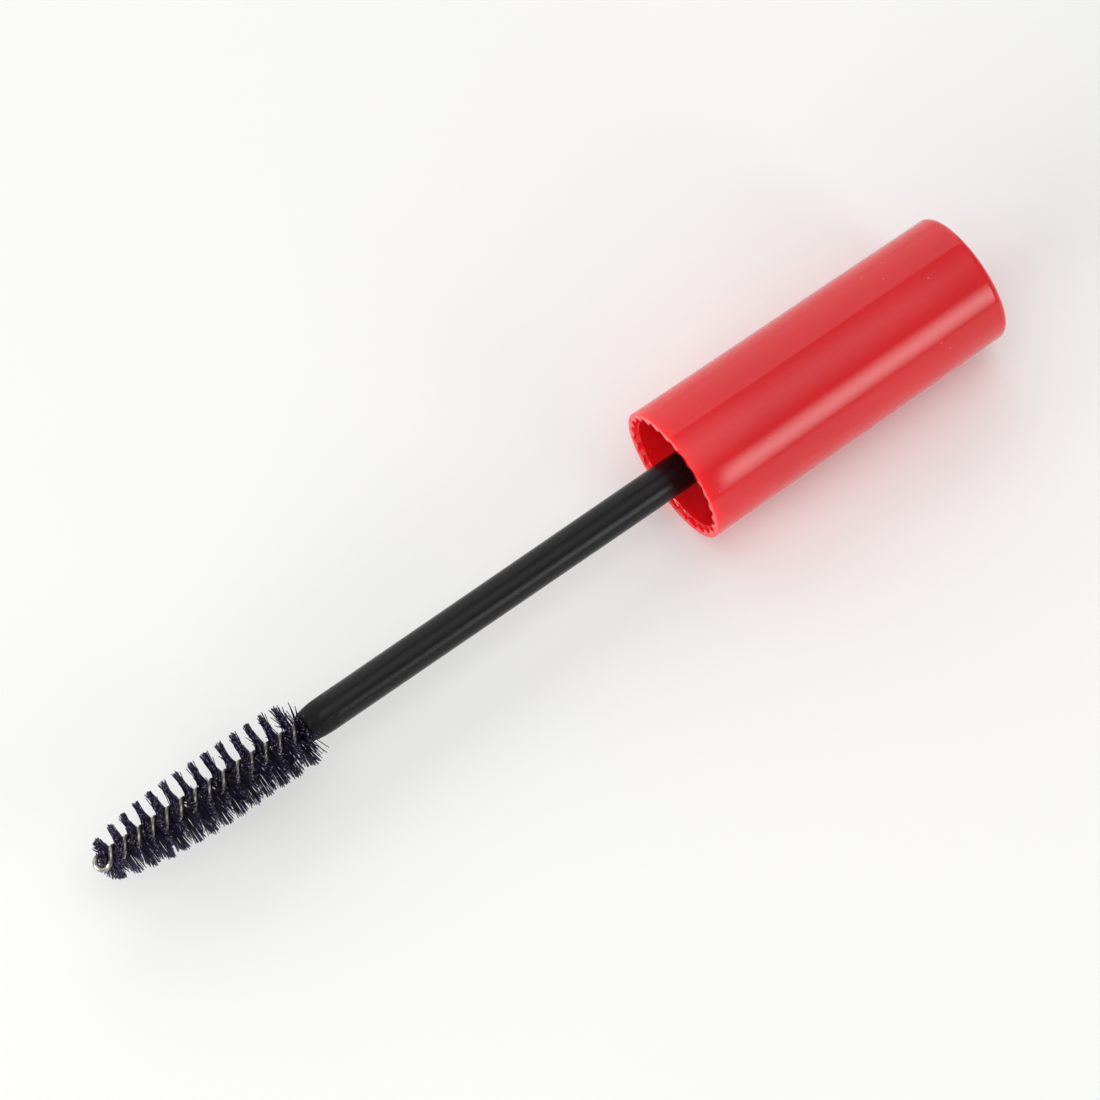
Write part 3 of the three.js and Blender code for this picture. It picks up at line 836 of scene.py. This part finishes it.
class APPLICATOR_OT_wire(bpy.types.Operator):
    """Makes the folded and twisted wire with its open loop at the tip"""

    bl_idname = "applicator.wire"
    bl_label = "Twisted wire"

    def execute(self, context):
        brush = context.scene.applicator_brush
        route = wire_route(brush)
        curve = bpy.data.curves.new("wire_route", "CURVE")
        curve.dimensions = "3D"
        curve.bevel_depth = brush.wire_radius
        curve.bevel_resolution = 3
        curve.use_fill_caps = True
        spline = curve.splines.new("POLY")
        spline.points.add(len(route) - 1)
        for point, spot in zip(spline.points, route):
            point.co = (*spot, 1)
        guide = bpy.data.objects.new("wire_route", curve)
        swept = bpy.data.meshes.new_from_object(guide)
        shape = bmesh.new()
        shape.from_mesh(swept)
        bpy.data.objects.remove(guide)
        bpy.data.curves.remove(curve)
        bpy.data.meshes.remove(swept)
        bmesh.ops.remove_doubles(shape, verts=shape.verts, dist=1e-6)
        bmesh.ops.recalc_face_normals(shape, faces=shape.faces)
        steel = drawn_stainless(brush.wire_colour)
        finish_piece(shape, "wire_loop", steel, ["twisted_wire"])
        return {"FINISHED"}


def fibre_reach(brush, along, angle):
    """How far a fibre reaches from the wire. The brush is trimmed to a bullet nose that runs into
    a cylinder, and the nose sits a little off the wand's axis."""
    share = min(1, max(0, (along - TIP) / BRUSH_NOSE_LENGTH))
    swell = math.sqrt(1 - (1 - share) ** 2)
    trim_radius = brush.brush_radius * (BRUSH_TIP_SHARE + (1 - BRUSH_TIP_SHARE) * swell)
    trim_centre = TRIM_SHIFT * (1 - share) - bend(along)
    off = trim_centre * math.sin(angle - BEND_ANGLE)
    return trim_centre * math.cos(angle - BEND_ANGLE) + math.sqrt(trim_radius ** 2 - off ** 2)


def fibre_template():
    """A thin closed prism from -1 to 1 along Z, cut where a fibre may bend."""
    shape = bmesh.new()
    bmesh.ops.create_cone(
        shape, cap_ends=True, cap_tris=False, segments=FIBRE_SIDES, radius1=1, radius2=1, depth=2)
    for cut in FIBRE_CUTS:
        geometry = [*shape.verts, *shape.edges, *shape.faces]
        bmesh.ops.bisect_plane(shape, geom=geometry, plane_co=(0, 0, cut), plane_no=(0, 0, 1))
    template = bpy.data.meshes.new("fibre_template")
    shape.to_mesh(template)
    shape.free()
    return template


class Fibre:
    """One fibre, gripped between the strands at its middle, with an end out on each side."""

    def __init__(self, brush, along, first, last, gathers, draws):
        near_rod = max(0, 1 - (first - along) / FRAY_LENGTH)
        near_tip = max(0, 1 - (along - last) / FRAY_LENGTH)
        self.along = along
        self.angle = fibre_angle(brush, along)
        # The fibre lies nearer to one strand, and both of its ends swing out round that strand.
        layer = draws.uniform(-1, 1)
        self.grip = GRIP_HALF_WIDTH * layer
        self.fans = []
        self.leans = []
        self.crooks = []
        self.reaches = []
        for sign, gather in zip((1, -1), gathers):
            fan = gather + sign * brush.spread * (
                LAYER_FAN * layer + draws.uniform(-RANDOM_FAN, RANDOM_FAN))
            fan += near_rod * math.radians(draws.gauss(0, FAN_NEAR_ROD))
            out_angle = self.angle + fan + (0 if sign > 0 else math.pi)
            to_side = math.cos(out_angle - BEND_ANGLE)
            lean = math.radians(draws.gauss(0, LEAN))
            lean += near_rod * math.radians(
                draws.uniform(*LEAN_NEAR_ROD) + max(0, -to_side) * draws.uniform(*LEAN_OPEN_SIDE))
            lean -= near_tip * math.radians(draws.uniform(*LEAN_NEAR_TIP))
            self.fans.append(fan)
            self.leans.append(lean)
            self.crooks.append(draws.gauss(0, FIBRE_CROOK))
            trimmed_at = along + math.sin(lean) * brush.brush_radius * LEAN_REACH
            reach = fibre_reach(brush, trimmed_at, out_angle)
            shorter = TRIM_NEAR_ROD * near_rod * max(0, to_side)
            reach *= 1 + draws.gauss(0, FIBRE_REACH_SPREAD) - shorter
            self.reaches.append(reach - abs(draws.gauss(0, FIBRE_CUT_SPREAD)))

    def spot(self, share):
        """Middle of the fibre, from -1 at one end to 1 at the other."""
        side = 0 if share >= 0 else 1
        sign = 1 if share >= 0 else -1
        out = abs(share) * self.reaches[side]
        fan = self.fans[side]
        fanned = out * out / (out + FAN_START)
        across = sign * out * math.cos(fan)
        past = out / FLARE_PLACE
        flare = FLARE / GRIP_HALF_WIDTH * past * math.exp(1 - past)
        aside = self.grip * (1 + flare) + sign * fanned * math.sin(fan)
        crooked = self.crooks[side] * fanned * abs(share)
        lean = math.tan(self.leans[side]) * fanned + crooked
        middle = beside(self.along, across, self.angle)
        middle += beside(self.along, aside, self.angle + math.pi / 2)
        middle -= beside(self.along, 0, 0)
        return middle + Vector((self.along + lean - middle.x, 0, 0))


def add_fibre(shape, template, layers, fibre, radius, shade):
    """Adds one bent copy of the template to a tuft."""
    known = len(shape.verts)
    shape.from_mesh(template)
    shape.verts.ensure_lookup_table()
    frames = {}
    for spot in shape.verts[known:]:
        share = round(spot.co.z, 4)
        if share not in frames:
            middle = fibre.spot(share)
            run = (fibre.spot(share + FIBRE_RUN) - fibre.spot(share - FIBRE_RUN)).normalized()
            side = (Vector((1, 0, 0)) - run * run.x).normalized()
            frames[share] = (middle, side, run.cross(side))
        middle, side, other = frames[share]
        spot.co = middle + side * (spot.co.x * radius) + other * (spot.co.y * radius)
        spot[layers["fibre_shade"]] = shade
        # Marks the cut ends, which the nylon material paints pale as a painted glint.
        spot[layers["fibre_cut"]] = abs(share) > FIBRE_END


def clump_gather(brush, number, place, pulls, offset):
    """How far a fibre's end turns about the wire towards the middle of its clump. place(number)
    tells where along the wand a numbered fibre stands."""
    clump = (number + offset) // CLUMP
    middle = (clump + 0.5) * CLUMP - offset
    return pulls[clump] * (fibre_angle(brush, place(middle)) - fibre_angle(brush, place(number)))


def tuft(brush, template, start, end, ends, draws):
    """The fibres from start to end along the wand. ends are the ends of the whole brush."""
    half_turn = brush.twist_pitch / 2
    count = round(brush.fibres_per_tuft * (start - end) / half_turn)
    shape = bmesh.new()
    layers = {key: shape.verts.layers.float.new(key) for key in ("fibre_shade", "fibre_cut")}
    pulls = [draws.uniform(*CLUMP_PULL) for _ in range(count // CLUMP + 2)]

    def place(number):
        return start + (end - start) * number / count

    for number in range(count):
        along = place(number + draws.random())
        gathers = [
            clump_gather(brush, number, place, pulls, offset) for offset in (0, CLUMP // 2)
        ]
        fibre = Fibre(brush, along, *ends, gathers, draws)
        radius = brush.fibre_diameter / 2 * draws.uniform(*FIBRE_THICKNESS)
        add_fibre(shape, template, layers, fibre, radius, draws.random())
    bmesh.ops.recalc_face_normals(shape, faces=shape.faces)
    return shape


class APPLICATOR_OT_bristles(bpy.types.Operator):
    """Makes the fibres, one tuft for each half turn of the wire"""

    bl_idname = "applicator.bristles"
    bl_label = "Bristle tufts"

    def execute(self, context):
        brush = context.scene.applicator_brush
        nylon = extruded_nylon(brush.fibre_colour, brush.fibre_tint)
        template = fibre_template()
        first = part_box(TUFT_NODES[0])[1].x
        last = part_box(TUFT_NODES[-1])[0].x
        half_turn = brush.twist_pitch / 2
        for index, node in enumerate(TUFT_NODES):
            draws = random.Random(brush.seed + index)
            start = first - index * half_turn
            end = max(last, start - half_turn)
            shape = tuft(brush, template, start, end, (first, last), draws)
            name = f"bristle_tuft_{index + 1:02d}"
            finish_piece(shape, name, nylon, [node], crease=80)
        bpy.data.meshes.remove(template)
        return {"FINISHED"}


# ---- Studio -------------------------------------------------------------------------------
LOOK_ALONG = 2.16 * MM  # how far the camera looks past the middle of the wand, and to its side
LOOK_ASIDE = 0.94 * MM
LOOK_AT = Vector(((CAP_HIGH.x + TIP) / 2 + LOOK_ALONG, LOOK_ASIDE, AXIS_HEIGHT))
SENSOR = 36.0
CLIP_END = 20
FLOOR_SIZE = 3.0
SURROUND_LEVEL = 0.38
# A tall white panel behind, a broad soft one overhead, a soft strip low in front and a large one
# to the left, which lights the inside of the cap.
PANELS = {
    "light_back": {
        "centre": (0.1, 0.8, 0.665), "target": (0.1, 0, 0.665),
        "width": 2.4, "height": 1.31, "radiance": 0.75},
    "light_top": {
        "centre": (-0.025, -0.09, 0.89), "target": (-0.025, 0, 0),
        "width": 1.15, "height": 1.18, "radiance": 1.15, "fades": (0.304, 0.5), "rest": 0.2},
    "light_strip": {
        "centre": (0.25, -0.649, 0.27), "target": (0.25, 0, 0.008),
        "width": 0.28, "height": 0.6, "radiance": 4.2, "fades": (0.1, 0.5)},
    "light_side": {
        "centre": (-1.0, -0.1, 0.25), "target": (0, -0.1, 0),
        "width": 1.2, "height": 0.42, "radiance": 7.2},
}


def matt_board(colour):
    """Matt painted board, rolled. It gives an even pale floor with a barely visible grain."""
    material, tree, shader = empty_material("board_painted_matt")
    place = add_node(tree, "ShaderNodeTexCoord").outputs["Object"]
    grain = add_node(tree, "ShaderNodeTexNoise", inputs={
        "Vector": place, "Scale": per_mm(60), "Detail": 3.0})
    tone = add_node(tree, "ShaderNodeMix", {"data_type": "RGBA"}, {
        "Factor": grain.outputs["Fac"], "A": rgba(colour, 0.985), "B": rgba(colour, 1.01)})
    tree.links.new(tone.outputs["Result"], shader.inputs["Base Color"])
    shader.inputs["Roughness"].default_value = 0.9
    shader.inputs["Specular IOR Level"].default_value = 0.2
    return material


def add_floor(colour):
    """The plain pale floor."""
    shape = bmesh.new()
    bmesh.ops.create_grid(shape, x_segments=8, y_segments=8, size=FLOOR_SIZE)
    mesh = bpy.data.meshes.new("studio_floor")
    shape.to_mesh(mesh)
    shape.free()
    mesh.materials.append(matt_board(colour))
    floor = bpy.data.objects.new("studio_floor", mesh)
    bpy.context.scene.collection.objects.link(floor)


def add_world(level):
    """Studio surround: one even, dim level that the soft lights stand out from."""
    world = bpy.data.worlds.new("studio_surround")
    bpy.context.scene.world = world
    world.use_nodes = True
    tree = world.node_tree
    tree.nodes.clear()
    surround = add_node(tree, "ShaderNodeBackground", inputs={
        "Color": (1, 1, 1, 1), "Strength": level})
    add_node(tree, "ShaderNodeOutputWorld", inputs={"Surface": surround.outputs["Background"]})


def fade_edges(light, fades, rest):
    """Runs a panel's light out towards its edges. fades are the shares of its width and height
    that run out at each edge, down to the share of light in rest."""
    light.use_nodes = True
    tree = light.node_tree
    tree.nodes.clear()
    spread = add_node(tree, "ShaderNodeNewGeometry").outputs["Parametric"]
    sides = add_node(tree, "ShaderNodeSeparateXYZ", inputs={"Vector": spread})
    level = 1.0
    for axis, fade in zip("XY", fades):
        centred = add_node(tree, "ShaderNodeMath", {"operation": "SUBTRACT"}, {
            0: sides.outputs[axis], 1: 0.5})
        away = add_node(tree, "ShaderNodeMath", {"operation": "ABSOLUTE"}, {
            0: centred.outputs["Value"]})
        share = add_node(tree, "ShaderNodeMapRange", {"interpolation_type": "SMOOTHSTEP"}, {
            "Value": away.outputs["Value"], "From Min": 0.5 - fade, "From Max": 0.5,
            "To Min": 1.0, "To Max": rest})
        level = add_node(tree, "ShaderNodeMath", {"operation": "MULTIPLY"}, {
            0: level, 1: share.outputs["Result"]}).outputs["Value"]
    glow = add_node(tree, "ShaderNodeEmission", inputs={"Strength": level})
    add_node(tree, "ShaderNodeOutputLight", inputs={"Surface": glow.outputs["Emission"]})


def add_panel(name, scale, centre, target, width, height, radiance, fades=None, rest=0):
    """A soft light panel that faces a point, unseen by the camera."""
    light = bpy.data.lights.new(name, "AREA")
    light.shape = "RECTANGLE"
    light.size = width
    light.size_y = height
    light.energy = radiance * scale * math.pi * width * height
    if fades:
        fade_edges(light, fades, rest)
    panel = bpy.data.objects.new(name, light)
    panel.visible_camera = False
    away = (Vector(centre) - Vector(target)).normalized()
    across = Vector((0, 1, 0)) if abs(away.x) > 0.5 else Vector((1, 0, 0))
    upright = away.cross(across).normalized()
    panel.matrix_world = Matrix((
        (across.x, upright.x, away.x, centre[0]),
        (across.y, upright.y, away.y, centre[1]),
        (across.z, upright.z, away.z, centre[2]),
        (0, 0, 0, 1)))
    bpy.context.scene.collection.objects.link(panel)


def add_camera(studio):
    """The camera, which becomes the scene's."""
    data = bpy.data.cameras.new("studio_camera")
    data.lens = studio.lens
    data.sensor_width = SENSOR
    data.clip_end = CLIP_END
    camera = bpy.data.objects.new("studio_camera", data)
    flat = math.cos(studio.elevation)
    back = Vector((
        math.sin(studio.azimuth) * flat,
        -math.cos(studio.azimuth) * flat,
        math.sin(studio.elevation)))
    camera.location = LOOK_AT + back * studio.distance
    camera.rotation_euler = (-back).to_track_quat("-Z", "Y").to_euler()
    bpy.context.scene.collection.objects.link(camera)
    bpy.context.scene.camera = camera


class APPLICATOR_OT_studio(bpy.types.Operator):
    """Sets the floor, the soft lights and the camera"""

    bl_idname = "applicator.studio"
    bl_label = "Studio"

    def execute(self, context):
        studio = context.scene.applicator_studio
        add_floor(studio.floor_colour)
        add_world(SURROUND_LEVEL * studio.light_scale)
        for name, panel in PANELS.items():
            add_panel(name, studio.light_scale, **panel)
        add_camera(studio)
        context.scene.view_settings.view_transform = "Standard"
        return {"FINISHED"}


# ---- Panel and registration ---------------------------------------------------------------
OPERATORS = (
    APPLICATOR_OT_cap,
    APPLICATOR_OT_rod,
    APPLICATOR_OT_washer,
    APPLICATOR_OT_wire,
    APPLICATOR_OT_bristles,
    APPLICATOR_OT_studio,
)
SETTINGS = {
    "applicator_cap": CapSettings,
    "applicator_rod": RodSettings,
    "applicator_brush": BrushSettings,
    "applicator_studio": StudioSettings,
}


class APPLICATOR_PT_sidebar(bpy.types.Panel):
    """Lists the settings and the operators of the applicator"""

    bl_idname = "APPLICATOR_PT_sidebar"
    bl_label = "Mascara applicator"
    bl_space_type = "VIEW_3D"
    bl_region_type = "UI"
    bl_category = "Applicator"

    def draw(self, context):
        for key in SETTINGS:
            settings = getattr(context.scene, key)
            box = self.layout.box()
            for name in settings.bl_rna.properties.keys():
                if name not in ("rna_type", "name"):
                    box.prop(settings, name)
        for operator in OPERATORS:
            self.layout.operator(operator.bl_idname)


def register():
    for group in SETTINGS.values():
        bpy.utils.register_class(group)
    for key, group in SETTINGS.items():
        setattr(bpy.types.Scene, key, PointerProperty(type=group))
    for operator in OPERATORS:
        bpy.utils.register_class(operator)
    bpy.utils.register_class(APPLICATOR_PT_sidebar)


def unregister():
    bpy.utils.unregister_class(APPLICATOR_PT_sidebar)
    for operator in reversed(OPERATORS):
        bpy.utils.unregister_class(operator)
    for key, group in SETTINGS.items():
        delattr(bpy.types.Scene, key)
        bpy.utils.unregister_class(group)


def main():
    """Builds the whole applicator and its studio."""
    register()
    bpy.ops.applicator.cap()
    bpy.ops.applicator.rod()
    bpy.ops.applicator.washer()
    bpy.ops.applicator.wire()
    bpy.ops.applicator.bristles()
    bpy.ops.applicator.studio()


if __name__ == "__main__":
    main()
